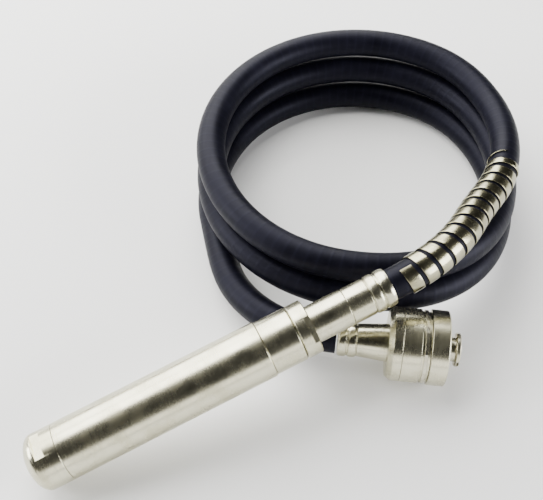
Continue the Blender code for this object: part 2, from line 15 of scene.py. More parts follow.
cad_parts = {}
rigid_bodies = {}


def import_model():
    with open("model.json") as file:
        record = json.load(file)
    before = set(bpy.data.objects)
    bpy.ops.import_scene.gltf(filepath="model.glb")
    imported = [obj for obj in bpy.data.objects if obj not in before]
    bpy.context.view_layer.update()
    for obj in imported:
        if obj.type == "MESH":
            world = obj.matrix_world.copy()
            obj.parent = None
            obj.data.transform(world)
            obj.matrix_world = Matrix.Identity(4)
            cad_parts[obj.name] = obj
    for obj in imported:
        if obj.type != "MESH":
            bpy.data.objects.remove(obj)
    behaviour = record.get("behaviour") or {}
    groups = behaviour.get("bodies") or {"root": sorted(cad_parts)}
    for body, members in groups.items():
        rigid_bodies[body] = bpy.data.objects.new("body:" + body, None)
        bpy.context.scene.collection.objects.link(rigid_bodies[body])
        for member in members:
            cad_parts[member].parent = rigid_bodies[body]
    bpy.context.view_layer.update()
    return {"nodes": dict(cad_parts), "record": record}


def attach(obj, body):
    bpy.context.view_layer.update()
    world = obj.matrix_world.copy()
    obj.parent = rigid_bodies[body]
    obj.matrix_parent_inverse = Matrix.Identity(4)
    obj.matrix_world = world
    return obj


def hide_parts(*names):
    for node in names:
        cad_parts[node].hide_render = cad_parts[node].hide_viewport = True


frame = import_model()

GAP = 0.0003
SEGMENTS = 144

# Where the head lies: a point on its axis near the nose, its heading and its tilt.
HEAD_POINT = Vector((-0.16002, -0.09356, 0.02874))
HEAD_YAW = math.radians(30.87)
HEAD_TILT = math.radians(12.0)

# The head, along its axis from HEAD_POINT towards the hose.
HEAD_R = 0.030
CASING_BORE_R = 0.0255
NOSE_DEPTH = 0.015
NOSE_SHOULDER = 0.0029
CAP_END = 0.0259
CASING_END = 0.2483
REAR_R = 0.0288
REAR_GROOVE = 0.2834
REAR_END = 0.3004
NECK_R = 0.0199
NECK_BORE_R = 0.0125
NECK_SEAM = 0.3417
FERRULE_START = 0.3669
FERRULE_END = 0.3900
SPANNER_FLAT_DEPTH = 0.0036
CAP_FLAT = (0.0035, 0.0130)  # where the nose cap's flats start and end
COLLAR_FLAT_LENGTH = 0.0055
SPIGOT_R = CASING_BORE_R - GAP
SEAL_GROOVE_DEPTH = 0.0020
REAR_BORE_R = 0.0185
NECK_SPIGOT_R = 0.0182
NECK_SPIGOT_START = CASING_END + 0.012
BEAD_FOOT_R = 0.0190
BEAD_R = 0.0207
CAP_FLAT_ANGLE = math.radians(83.0)
REAR_FLAT_ANGLE = math.radians(127.0)

# The hose and the coil it lies in.
HOSE_R = 0.0170
COIL_R = 0.1830
COIL_CENTRE = Vector((0.1332, 0.3236, 0.0))
TURN_PITCH = 0.0343
TURN_SHIFT = Vector((0.0010, -0.0120, 0.0))
TOP_LEVEL = 2
DRAWN_IN = 1.1
DRAWN_FROM = 0.06
LEAD_JOIN = math.radians(34.0)
TAIL_JOIN = math.radians(205.1)
RAMP_START = math.radians(265.0)
RAMP_END = math.radians(394.0)

# Route of the two uncoiled stretches, measured from the coil's centre on the floor.
LEAD_ROUTE = [
    (0.0342, -0.2215, 0.1099),
    (0.0605, -0.2058, 0.1164),
    (0.0895, -0.1780, 0.1190),
    (0.1108, -0.1450, 0.1150),
    (0.1250, -0.1080, 0.1065),
    (0.1411, -0.0785, 0.1015),
    (0.1559, -0.0485, 0.0975),
    (0.1656, -0.0075, 0.0940),
    (0.1649, 0.0400, 0.0895),
    (0.1544, 0.0800, 0.0860),
    (0.1425, 0.1023, 0.0856),
]
TAIL_ROUTE = [
    (-0.1720, -0.0806, 0.0170),
    (-0.1620, -0.1113, 0.0175),
    (-0.1515, -0.1437, 0.0195),
    (-0.1385, -0.1735, 0.0230),
    (-0.1207, -0.1980, 0.0273),
    (-0.0981, -0.2183, 0.0320),
    (-0.0719, -0.2335, 0.0362),
    (-0.0480, -0.2417, 0.0392),
    (-0.0280, -0.2454, 0.0404),
    (-0.0123, -0.2460, 0.0405),
]

# The guard band wound on the hose.
GUARD_START = 0.0135
GUARD_PITCH = 0.0175
GUARD_TURNS = 13
GUARD_WIDTH = 0.0128
GUARD_THICKNESS = 0.0015

# The drive coupling, along +X from the end of the hose.
DRIVE_START = Vector((COIL_CENTRE.x - 0.0119, COIL_CENTRE.y - 0.2460, 0.0405))
FERRULE2_LENGTH = 0.0204
NECK2_BORE_R = 0.0110
HOUSING_R = 0.0393
HOUSING_START = 0.0524
HOUSING_SEAM = 0.0673
HOUSING_END = 0.0864
GROOVE_END = 0.0959
FRONT_R = 0.0402
FRONT_END = 0.1151
MOUTH_R = 0.0345
BEAD2_FOOT_R = 0.0178
BEAD2_R = 0.0192
FLANGE_START = HOUSING_START + 0.0100
FLANGE_END = FLANGE_START + 0.0040
FLANGE_R = 0.0250
FLARE_R = 0.0203
COVER_BORE_R = 0.0206
COVER_INNER_R = 0.0340
GROOVE_R = 0.0370
SEAT_R = 0.0262
SEAT_START = HOUSING_SEAM + 0.0040
SEAT_END = HOUSING_SEAM + 0.0200
SLEEVE_R = MOUTH_R - GAP
SLEEVE_INNER_R = 0.0308
DOG_R = 0.0180
DOG_HUB_R = 0.0130
DOG_BORE_R = 0.0070 + GAP
DOG_SLOT = (0.0065, 0.05, 0.0060)
DOG_START = 0.1160
DOG_END = 0.1288

WRAP_PITCH = 0.0120  # spacing of the wrap marks on the hose

# Floor and camera.
FLOOR_HALF = 8.0
FLOOR_Z = -0.0004
CAMERA_PLACE = Vector((0.1044, -0.4402, 0.8689))
CAMERA_PITCH = math.radians(52.745)
CAMERA_HEADING = math.radians(6.0904)
CAMERA_ROLL = math.radians(0.542)
CAMERA_LENS = 60.13


def head_matrix():
    along = Vector((
        math.cos(HEAD_YAW) * math.cos(HEAD_TILT),
        math.sin(HEAD_YAW) * math.cos(HEAD_TILT),
        math.sin(HEAD_TILT),
    ))
    side = Vector((-math.sin(HEAD_YAW), math.cos(HEAD_YAW), 0.0))
    over = along.cross(side)
    turn = Matrix((side, over, along)).transposed().to_4x4()
    return Matrix.Translation(HEAD_POINT) @ turn


def drive_matrix():
    turn = Matrix(((0, 0, 1), (0, 1, 0), (-1, 0, 0))).to_4x4()
    return Matrix.Translation(DRIVE_START) @ turn


# ---------------------------------------------------------------- materials


class Shader:
    """A node material being wired up."""

    def __init__(self, name):
        self.material = bpy.data.materials.new(name)
        self.material.use_nodes = True
        self.tree = self.material.node_tree
        self.main = self.tree.nodes["Principled BSDF"]

    def node(self, kind, **settings):
        made = self.tree.nodes.new(kind)
        for key, value in settings.items():
            setattr(made, key, value)
        return made

    def link(self, source, target):
        self.tree.links.new(source, target)

    def math(self, operation, a, b):
        made = self.node("ShaderNodeMath", operation=operation)
        for socket, value in zip(made.inputs, (a, b)):
            if hasattr(value, "is_output"):
                self.link(value, socket)
            else:
                socket.default_value = value
        return made.outputs[0]

    def combine(self, x, y, z):
        made = self.node("ShaderNodeCombineXYZ")
        for socket, value in zip(made.inputs, (x, y, z)):
            if hasattr(value, "is_output"):
                self.link(value, socket)
            else:
                socket.default_value = value
        return made.outputs[0]

    def noise(self, vector, scale, detail=3.0, rough=0.5):
        made = self.node("ShaderNodeTexNoise")
        made.inputs["Scale"].default_value = scale
        made.inputs["Detail"].default_value = detail
        made.inputs["Roughness"].default_value = rough
        self.link(vector, made.inputs["Vector"])
        return made.outputs[0]

    def ramp(self, value, low, high, start=0.0, end=1.0):
        made = self.node("ShaderNodeMapRange")
        made.clamp = True
        self.link(value, made.inputs["Value"])
        limits = {"From Min": low, "From Max": high, "To Min": start, "To Max": end}
        for key, number in limits.items():
            made.inputs[key].default_value = number
        return made.outputs[0]

    def mix(self, share, first, second):
        made = self.node("ShaderNodeMix", data_type="RGBA")
        if hasattr(share, "is_output"):
            self.link(share, made.inputs[0])
        else:
            made.inputs[0].default_value = share
        for socket, value in ((made.inputs[6], first), (made.inputs[7], second)):
            if hasattr(value, "is_output"):
                self.link(value, socket)
            else:
                socket.default_value = (*value, 1.0)
        return made.outputs[2]

    def bump(self, height, strength, distance, before=None):
        made = self.node("ShaderNodeBump")
        made.inputs["Strength"].default_value = strength
        made.inputs["Distance"].default_value = distance
        self.link(height, made.inputs["Height"])
        if before is not None:
            self.link(before, made.inputs["Normal"])
        return made.outputs[0]


def steel(name, colour, stain, roughness, marks, uv=False):
    """Bright steel with turning marks, fine scratches, handling stains and uneven polish."""
    s = Shader(name)
    places = s.node("ShaderNodeTexCoord").outputs["UV" if uv else "Object"]
    split = s.node("ShaderNodeSeparateXYZ")
    s.link(places, split.inputs[0])
    x, y, z = split.outputs
    if uv:
        lines = s.combine(s.math("MULTIPLY", x, 12.0), s.math("MULTIPLY", y, 900.0), 0.0)
    else:
        squares = s.math("ADD", s.math("MULTIPLY", x, x), s.math("MULTIPLY", y, y))
        reach = s.math("SQRT", squares, 0.0)
        profile_place = s.math("ADD", s.math("MULTIPLY", reach, 1.0), z)
        lines = s.combine(
            s.math("MULTIPLY", x, 6.0),
            s.math("MULTIPLY", y, 6.0),
            s.math("MULTIPLY", profile_place, 1400.0),
        )
    rings = s.noise(lines, 1.0, 4.0, 0.6)
    blotches = s.noise(places, 38.0, 4.0, 0.6)
    specks = s.noise(places, 900.0, 2.0, 0.5)
    bent = s.node("ShaderNodeVectorMath", operation="MULTIPLY")
    s.link(places, bent.inputs[0])
    bent.inputs[1].default_value = (260.0, 90.0, 30.0)
    scratches = s.ramp(s.noise(bent.outputs[0], 1.0, 6.0, 0.75), 0.66, 0.72)
    tone = s.mix(s.ramp(blotches, 0.42, 0.70), colour, stain)
    tone = s.mix(s.ramp(rings, 0.35, 0.75, 0.0, 0.30), tone, tuple(0.72 * c for c in colour))
    s.link(tone, s.main.inputs["Base Color"])
    rough = s.ramp(blotches, 0.30, 0.75, roughness * 0.85, roughness * 1.5)
    rough = s.math("ADD", rough, s.math("MULTIPLY", scratches, 0.10))
    rough = s.math("ADD", rough, s.ramp(rings, 0.3, 0.8, 0.0, 0.06))
    s.link(rough, s.main.inputs["Roughness"])
    normal = s.bump(rings, marks, 0.00003)
    normal = s.bump(scratches, 0.25, 0.00003, normal)
    normal = s.bump(specks, 0.05, 0.00003, normal)
    s.link(normal, s.main.inputs["Normal"])
    s.main.inputs["Metallic"].default_value = 1.0
    return s.material


def rubber(name, colour, worn, roughness, wrapped):
    """Black rubber with a satin skin, faint cloth-wrap marks, dust and scuffs."""
    s = Shader(name)
    coords = s.node("ShaderNodeTexCoord")
    places = coords.outputs["Object"]
    cloudy = s.noise(places, 26.0, 5.0, 0.6)
    fine = s.noise(places, 700.0, 3.0, 0.6)
    dust = s.ramp(s.noise(places, 120.0, 6.0, 0.7), 0.52, 0.80)
    tone = s.mix(s.ramp(cloudy, 0.35, 0.75), colour, worn)
    tone = s.mix(s.math("MULTIPLY", dust, 0.14), tone, tuple(2.4 * c for c in worn))
    normal = None
    if wrapped:
        split = s.node("ShaderNodeSeparateXYZ")
        s.link(coords.outputs["UV"], split.inputs[0])
        along, around = split.outputs[0], split.outputs[1]
        slant = s.math("ADD", along, s.math("MULTIPLY", around, WRAP_PITCH))
        wave = s.math("SINE", s.math("MULTIPLY", slant, math.tau / WRAP_PITCH), 0.0)
        ridge = s.ramp(wave, 0.55, 1.0)
        threads = s.combine(
            s.math("MULTIPLY", along, 900.0), s.math("MULTIPLY", around, 14.0), 0.0
        )
        weave = s.noise(threads, 1.0, 3.0, 0.6)
        tone = s.mix(s.math("MULTIPLY", ridge, 0.35), tone, tuple(1.5 * c for c in worn))
        normal = s.bump(ridge, 0.35, 0.0002)
        normal = s.bump(weave, 0.25, 0.0001, normal)
    s.link(tone, s.main.inputs["Base Color"])
    rough = s.ramp(cloudy, 0.25, 0.80, roughness * 0.85, roughness * 1.25)
    rough = s.math("ADD", rough, s.math("MULTIPLY", dust, 0.12))
    s.link(rough, s.main.inputs["Roughness"])
    s.link(s.bump(fine, 0.22, 0.0001, normal), s.main.inputs["Normal"])
    s.main.inputs["Specular IOR Level"].default_value = 0.12
    s.main.inputs["Specular Tint"].default_value = (0.75, 0.75, 1.0, 1.0)
    return s.material


def casting(name, colour, worn, roughness):
    """Rough grey casting."""
    s = Shader(name)
    places = s.node("ShaderNodeTexCoord").outputs["Object"]
    grain = s.noise(places, 420.0, 6.0, 0.7)
    patches = s.noise(places, 45.0, 4.0, 0.6)
    s.link(s.mix(s.ramp(patches, 0.35, 0.70), colour, worn), s.main.inputs["Base Color"])
    s.link(s.ramp(grain, 0.2, 0.8, roughness * 0.8, roughness * 1.2), s.main.inputs["Roughness"])
    s.link(s.bump(grain, 0.5, 0.0003), s.main.inputs["Normal"])
    s.main.inputs["Metallic"].default_value = 0.8
    return s.material


# Each steel: its colour, its stains, its roughness and how deep its turning marks look.
STEELS = {
    "polished_steel": ((0.66, 0.635, 0.48), (0.52, 0.495, 0.345), 0.21, 0.18),
    "machined_steel": ((0.66, 0.63, 0.50), (0.54, 0.51, 0.38), 0.22, 0.45),
    "band_steel": ((0.40, 0.38, 0.26), (0.25, 0.23, 0.14), 0.18, 0.35),
    "bearing_steel": ((0.62, 0.63, 0.65), (0.50, 0.51, 0.53), 0.14, 0.15),
    "shaft_steel": ((0.45, 0.45, 0.44), (0.34, 0.33, 0.31), 0.28, 0.5),
    "cage_brass": ((0.72, 0.56, 0.26), (0.56, 0.42, 0.18), 0.28, 0.4),
}
# Each rubber: its colour, its worn colour, its roughness and whether it shows a wrap.
RUBBERS = {
    "seal_rubber": ((0.020, 0.020, 0.020), (0.035, 0.035, 0.036), 0.65, False),
    "hose_rubber": ((0.0015, 0.0015, 0.0032), (0.0042, 0.0042, 0.0085), 0.44, True),
}
materials = {name: steel(name, *look, uv=name == "band_steel") for name, look in STEELS.items()}
materials["cast_weight"] = casting("cast_weight", (0.22, 0.22, 0.22), (0.30, 0.29, 0.27), 0.60)
materials.update({name: rubber(name, *look) for name, look in RUBBERS.items()})

record_slots = {row["node"]: row["material_slot"] for row in frame["record"]["subparts"]}
for node_name, node in frame["nodes"].items():
    node.data.materials.clear()
    node.data.materials.append(materials[record_slots[node_name]])


# ---------------------------------------------------------------- pieces


def finish_piece(obj, node_name, body="root"):
    """Gives a piece the finish of the CAD node it stands for, and its body."""
    slot = record_slots[node_name]
    obj.data.materials.append(materials[slot])
    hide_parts(node_name)
    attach(obj, body)


def link_mesh(name, points, faces, matrix=None):
    mesh = bpy.data.meshes.new(name)
    mesh.from_pydata([tuple(p) for p in points], [], faces)
    shape = bmesh.new()
    shape.from_mesh(mesh)
    bmesh.ops.remove_doubles(shape, verts=shape.verts, dist=1e-7)
    bmesh.ops.recalc_face_normals(shape, faces=shape.faces)
    shape.to_mesh(mesh)
    shape.free()
    obj = bpy.data.objects.new(name, mesh)
    bpy.context.scene.collection.objects.link(obj)
    if matrix is not None:
        obj.matrix_world = matrix
    mesh.shade_smooth()
    return obj


def rounded(profile, closed, radius, steps=4):
    """The profile with its corners rounded, leaving the points on the axis."""
    count = len(profile)
    result = []
    for i, here in enumerate(profile):
        here = Vector(here)
        if not closed and i in (0, count - 1):
            result.append(here)
            continue
        before = Vector(profile[i - 1]) - here
        after = Vector(profile[(i + 1) % count]) - here
        bend = math.pi - before.angle(after)
        if bend < math.radians(14):
            result.append(here)
            continue
        reach = min(radius * math.tan(bend / 2), 0.45 * before.length, 0.45 * after.length)
        start = here + before.normalized() * reach
        end = here + after.normalized() * reach
        for step in range(steps + 1):
            t = step / steps
            result.append(start * (1 - t) ** 2 + here * 2 * t * (1 - t) + end * t**2)
    return result


def turned(name, profile, matrix, closed=True, radius=0.0005, segments=None):
    """A turned piece with rounded corners; its local +Z is the axis."""
    segments = segments or SEGMENTS
    outline = rounded(profile, closed, radius)
    points, faces = [], []
    for r, z in outline:
        for k in range(segments):
            swing = math.tau * k / segments
            points.append((r * math.cos(swing), r * math.sin(swing), z))
    count = len(outline)
    for i in range(count if closed else count - 1):
        a, b = i * segments, (i + 1) % count * segments
        for k in range(segments):
            m = (k + 1) % segments
            faces.append((a + k, a + m, b + m, b + k))
    return link_mesh(name, points, faces, matrix)


def even_normals(obj):
    weighted = obj.modifiers.new("even_normals", "WEIGHTED_NORMAL")
    weighted.keep_sharp = True
    weighted.weight = 60


def cut_boxes(obj, boxes):
    """Cuts boxes, each (size, centre, matrix), and softens the cut edges."""
    cutters = []
    for size, centre, matrix in boxes:
        shape = bmesh.new()
        bmesh.ops.create_cube(shape, size=1.0)
        bmesh.ops.scale(shape, vec=size, verts=shape.verts)
        bmesh.ops.translate(shape, vec=centre, verts=shape.verts)
        mesh = bpy.data.meshes.new("cutter")
        shape.to_mesh(mesh)
        shape.free()
        cutter = bpy.data.objects.new("cutter", mesh)
        bpy.context.scene.collection.objects.link(cutter)
        cutter.matrix_world = matrix
        boolean = obj.modifiers.new("cut", "BOOLEAN")
        boolean.operation = "DIFFERENCE"
        boolean.solver = "EXACT"
        boolean.object = cutter
        cutters.append(cutter)
    bpy.context.view_layer.update()
    graph = bpy.context.evaluated_depsgraph_get()
    mesh = bpy.data.meshes.new_from_object(obj.evaluated_get(graph))
    obj.modifiers.clear()
    obj.data = mesh
    mesh.shade_smooth()
    mesh.set_sharp_from_angle(angle=math.radians(32))
    for cutter in cutters:
        bpy.data.objects.remove(cutter)


def flats(radius, start, end, angle, matrix):
    depth = 0.01
    for side in range(2):
        facing = matrix @ Matrix.Rotation(angle + side * math.pi, 4, "Z")
        centre = (radius - SPANNER_FLAT_DEPTH + depth / 2, 0.0, (start + end) / 2)
        yield (depth, 0.06, end - start), centre, facing


def beads(start, end, low, high, count):
    """Outer points of a crimped ferrule from its end down to its start, round between grooves."""
    pitch = (end - start) / count
    points = []
    for bead in reversed(range(count)):
        foot = start + bead * pitch
        for step in range(13):
            share = 1 - step / 12
            swell = math.sqrt(max(0.0, 1 - abs(2 * share - 1) ** 3))
            points.append((low + (high - low) * 0.9 * swell, foot + pitch * (0.06 + 0.88 * share)))
    return points


def build_head():
    place = head_matrix()
    dome = []
    for step in range(25):
        angle = math.radians(90 - 90 * step / 25)
        dome.append((HEAD_R * math.sin(angle), NOSE_SHOULDER - NOSE_DEPTH * math.cos(angle)))
    outline = [
        (0.0, CAP_END + 0.010),
        (SPIGOT_R - 0.001, CAP_END + 0.010),
        (SPIGOT_R, CAP_END + 0.009),
        (SPIGOT_R, CAP_END + 0.0045),
        (SPIGOT_R - SEAL_GROOVE_DEPTH, CAP_END + 0.0045),
        (SPIGOT_R - SEAL_GROOVE_DEPTH, CAP_END + 0.0020),
        (SPIGOT_R, CAP_END + 0.0020),
        (SPIGOT_R, CAP_END - GAP),
        (HEAD_R - 0.0003, CAP_END - GAP),
        (HEAD_R, CAP_END - 2 * GAP),
        *dome,
        (0.0, NOSE_SHOULDER - NOSE_DEPTH),
    ]
    cap = turned("nose_cap_turned", outline, place, closed=False)
    cut_boxes(cap, list(flats(HEAD_R, *CAP_FLAT, CAP_FLAT_ANGLE, place)))
    finish_piece(cap, "nose_cap")

    profile = [
        (HEAD_R - 0.0004, CASING_END),
        (HEAD_R, CASING_END - 0.0004),
        (HEAD_R, CAP_END + 0.0004),
        (HEAD_R - 0.0004, CAP_END),
        (CASING_BORE_R, CAP_END),
        (CASING_BORE_R, CASING_END),
    ]
    casing = turned("casing_turned", profile, place)
    finish_piece(casing, "casing_tube")

    front = CASING_END - 0.014
    profile = [
        (REAR_R - 0.0008, REAR_GROOVE - 0.0006),
        (REAR_R, REAR_GROOVE - 0.0014),
        (REAR_R, CASING_END + GAP + 0.0005),
        (REAR_R - 0.0005, CASING_END + GAP),
        (SPIGOT_R, CASING_END + GAP),
        (SPIGOT_R, front + 0.0062),
        (SPIGOT_R - SEAL_GROOVE_DEPTH, front + 0.0062),
        (SPIGOT_R - SEAL_GROOVE_DEPTH, front + 0.0035),
        (SPIGOT_R, front + 0.0035),
        (SPIGOT_R, front),
        (REAR_BORE_R, front),
        (REAR_BORE_R, REAR_GROOVE - 0.0006),
    ]
    finish_piece(turned("rear_housing_turned", profile, place), "rear_housing")

    start = REAR_GROOVE + 0.0002
    profile = [
        (REAR_R - 0.0010, REAR_END),
        (REAR_R, REAR_END - 0.0010),
        (REAR_R, start + 0.0012),
        (REAR_R - 0.0012, start),
        (NECK_R + GAP, start),
        (NECK_R + GAP, REAR_END),
    ]
    collar = turned("lock_collar_turned", profile, place)
    flats_start = REAR_END - COLLAR_FLAT_LENGTH
    collar_flats = flats(REAR_R, flats_start, REAR_END + 0.01, REAR_FLAT_ANGLE, place)
    cut_boxes(collar, list(collar_flats))
    finish_piece(collar, "lock_collar")

    profile = [
        (NECK_R - 0.0004, NECK_SEAM),
        (NECK_R, NECK_SEAM - 0.0004),
        (NECK_R, REAR_GROOVE + 0.0002),
        (NECK_SPIGOT_R, REAR_GROOVE + 0.0002),
        (NECK_SPIGOT_R, NECK_SPIGOT_START),
        (NECK_BORE_R, NECK_SPIGOT_START),
        (NECK_BORE_R, NECK_SEAM),
    ]
    finish_piece(turned("neck_turned", profile, place), "neck_tube")

    profile = [
        (NECK_R - 0.0008, FERRULE_START - GAP),
        (NECK_R - 0.0002, FERRULE_START - 0.0009),
        (NECK_R - 0.0002, NECK_SEAM + 0.0007),
        (NECK_R - 0.0006, NECK_SEAM + GAP),
        (NECK_BORE_R, NECK_SEAM + GAP),
        (NECK_BORE_R, FERRULE_START - GAP),
    ]
    finish_piece(turned("hose_adaptor_turned", profile, place), "hose_adaptor")

    profile = [
        (0.0196, FERRULE_END),
        *beads(FERRULE_START, FERRULE_END, BEAD_FOOT_R, BEAD_R, 2)[1:],
        (BEAD_FOOT_R, FERRULE_START),
        (NECK_BORE_R, FERRULE_START),
        (NECK_BORE_R, FERRULE_END),
    ]
    finish_piece(turned("head_ferrule_turned", profile, place, radius=0.0002), "head_ferrule")


def build_coupling():
    """Returns the pieces, which go with the hose."""
    place = drive_matrix()
    made = []

    def add(name, node_name, profile, body="root", cuts=(), **options):
        piece = turned(name, profile, place, **options)
        if cuts:
            cut_boxes(piece, cuts)
        finish_piece(piece, node_name, body)
        made.append(piece)

    add("drive_ferrule_turned", "drive_ferrule", [
        (BEAD2_FOOT_R, FERRULE2_LENGTH),
        *beads(0.0, FERRULE2_LENGTH, BEAD2_FOOT_R, BEAD2_R, 2),
        (0.0182, 0.0),
        (NECK2_BORE_R, 0.0),
        (NECK2_BORE_R, FERRULE2_LENGTH),
    ], radius=0.0002)
    start = FERRULE2_LENGTH + GAP
    add("drive_neck_turned", "drive_neck", [
        (FLANGE_R, FLANGE_END),
        (FLANGE_R, FLANGE_START),
        (FLARE_R, FLANGE_START),
        (FLARE_R, HOUSING_START),
        (0.0176, start),
        (NECK2_BORE_R, start),
        (NECK2_BORE_R, FLANGE_END),
    ])
    add("back_cover_turned", "back_cover", [
        (HOUSING_R - 0.0003, HOUSING_SEAM - GAP),
        (HOUSING_R, HOUSING_SEAM - 0.0006),
        (HOUSING_R, HOUSING_START + 0.0053),
        (HOUSING_R - 0.0040, HOUSING_START),
        (COVER_BORE_R, HOUSING_START),
        (COVER_BORE_R, HOUSING_START + 0.0097),
        (COVER_INNER_R, HOUSING_START + 0.0097),
        (COVER_INNER_R, HOUSING_SEAM - GAP),
    ])
    add("coupling_housing_turned", "coupling_housing", [
        (MOUTH_R, GROOVE_END),
        (GROOVE_R, GROOVE_END),
        (GROOVE_R, HOUSING_END),
        (HOUSING_R, HOUSING_END),
        (HOUSING_R, HOUSING_SEAM + 0.0003),
        (HOUSING_R - 0.0003, HOUSING_SEAM),
        (0.0160, HOUSING_SEAM),
        (0.0160, SEAT_START),
        (SEAT_R, SEAT_START),
        (SEAT_R, SEAT_END),
        (MOUTH_R, SEAT_END),
    ])
    start = GROOVE_END + GAP
    add("front_ring_turned", "front_ring", [
        (MOUTH_R + 0.0008, FRONT_END),
        (FRONT_R - 0.0012, FRONT_END),
        (FRONT_R, FRONT_END - 0.0012),
        (FRONT_R, start + 0.0008),
        (FRONT_R - 0.0008, start),
        (MOUTH_R, start),
        (MOUTH_R, FRONT_END - 0.0008),
    ])
    start = SEAT_END + GAP
    add("inner_sleeve_turned", "inner_sleeve", [
        (0.0316, FRONT_END - 0.0030),
        (SLEEVE_R, FRONT_END - 0.0036),
        (SLEEVE_R, start),
        (0.0150, start),
        (0.0150, start + 0.0030),
        (SLEEVE_INNER_R, start + 0.0030),
        (SLEEVE_INNER_R, FRONT_END - 0.0030),
    ])
    slot = (DOG_SLOT, (0.0, 0.0, DOG_END), place)
    add("drive_dog_turned", "drive_dog", [
        (DOG_R - 0.0008, DOG_END),
        (DOG_R, DOG_END - 0.0008),
        (DOG_R, DOG_END - 0.0040),
        (DOG_R - 0.0008, DOG_END - 0.0048),
        (DOG_HUB_R, DOG_END - 0.0048),
        (DOG_HUB_R, DOG_START - 0.0095),
        (DOG_BORE_R, DOG_START - 0.0095),
        (DOG_BORE_R, DOG_END),
    ], body="spindle", cuts=[slot])
    return made


# ---------------------------------------------------------------- hose and guard


def smooth_route(points, per_leg):
    """Points on the cubic B-spline that starts and ends on the first and last route points."""
    route = [Vector(point) for point in points]
    route = [2 * route[0] - route[1], *route, 2 * route[-1] - route[-2]]
    curve = []
    for a, b, c, d in zip(route, route[1:], route[2:], route[3:]):
        for step in range(per_leg):
            t = step / per_leg
            curve.append(
                (
                    a * (1 - t) ** 3
                    + b * (3 * t**3 - 6 * t**2 + 4)
                    + c * (-3 * t**3 + 3 * t**2 + 3 * t + 1)
                    + d * t**3
                )
                / 6
            )
    curve.append(Vector(points[-1]))
    return curve


def turn_level(angle):
    """The height of the hose in turns above the floor, at an angle counted on from the top turn."""
    turn = math.floor((angle - RAMP_START) / math.tau)
    within = angle - RAMP_START - turn * math.tau
    share = min(within / (RAMP_END - RAMP_START), 1.0)
    return TOP_LEVEL - turn - share * share * (3 - 2 * share)


def drawn_in(point):
    """A point of a round coil, measured from its centre, moved as its right side is drawn in."""
    beyond = max(point.x - DRAWN_FROM, 0.0)
    return point - Vector((DRAWN_IN * beyond**2, 0.0, 0.0))


def turn_centre(angle, level):
    """The hose's centre on the coil, at an angle round COIL_CENTRE and a level."""
    out = Vector((math.cos(angle), math.sin(angle), 0.0))
    along = Vector((-out.y, out.x, 0.0))
    shift = TURN_SHIFT * (TOP_LEVEL - level)
    reach = shift.dot(out) + math.sqrt(COIL_R**2 - shift.dot(along) ** 2)
    rise = Vector((0.0, 0.0, HOSE_R + TURN_PITCH * level))
    return COIL_CENTRE + drawn_in(out * reach) + rise


def hose_line():
    """The hose's centreline from the head's ferrule to the coupling's."""
    lead = [COIL_CENTRE + point for point in smooth_route(LEAD_ROUTE, 12)]
    tail = [COIL_CENTRE + point for point in smooth_route(TAIL_ROUTE, 12)]
    last = TAIL_JOIN + 2 * math.tau
    steps = round((last - LEAD_JOIN) / math.radians(1.5))
    coil = []
    for step in range(1, steps):
        angle = LEAD_JOIN + (last - LEAD_JOIN) * step / steps
        coil.append(turn_centre(angle, turn_level(angle)))
    line = lead + coil + tail
    line[0] = line[0] + (line[1] - line[0]).normalized() * GAP
    line[-1] = line[-1] + (line[-2] - line[-1]).normalized() * 0.0012
    return line


def carried_frames(curve):
    """The tangent and a normal at each point, the normal carried along without twist."""
    frames = []
    normal = Vector((0.0, 0.0, 1.0))
    for i in range(len(curve)):
        ahead = curve[min(i + 1, len(curve) - 1)]
        behind = curve[max(i - 1, 0)]
        tangent = (ahead - behind).normalized()
        normal = (normal - tangent * normal.dot(tangent)).normalized()
        frames.append((tangent, normal))
    return frames


def build_hose():
    line = hose_line()
    frames = carried_frames(line)
    sides = 48
    points, faces, marks = [], [], []
    run = 0.0
    for i, (place, (tangent, normal)) in enumerate(zip(line, frames)):
        if i:
            run += (place - line[i - 1]).length
        across = tangent.cross(normal)
        for k in range(sides + 1):
            swing = math.tau * k / sides
            points.append(place + (normal * math.cos(swing) + across * math.sin(swing)) * HOSE_R)
            marks.append((run, k / sides))
    wide = sides + 1
    for i in range(len(line) - 1):
        for k in range(sides):
            a, b = i * wide + k, (i + 1) * wide + k
            faces.append((a, a + 1, b + 1, b))
    for first in (0, (len(line) - 1) * wide):
        faces.append(tuple(first + k for k in range(sides)))
    mesh = bpy.data.meshes.new("hose_tube")
    mesh.from_pydata([tuple(p) for p in points], [], faces)
    layer = mesh.uv_layers.new(name="along")
    for loop in mesh.loops:
        layer.data[loop.index].uv = marks[loop.vertex_index]
    shape = bmesh.new()
    shape.from_mesh(mesh)
    bmesh.ops.remove_doubles(shape, verts=shape.verts, dist=1e-6)
    bmesh.ops.recalc_face_normals(shape, faces=shape.faces)
    shape.to_mesh(mesh)
    shape.free()
    mesh.shade_smooth()
    mesh.set_sharp_from_angle(angle=math.radians(50))
    hose = bpy.data.objects.new("hose_tube", mesh)
    bpy.context.scene.collection.objects.link(hose)
    mesh.materials.append(materials["hose_rubber"])
    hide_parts("hose_lead", "hose_coil", "hose_tail")
    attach(hose, "root")
    return hose, line, run


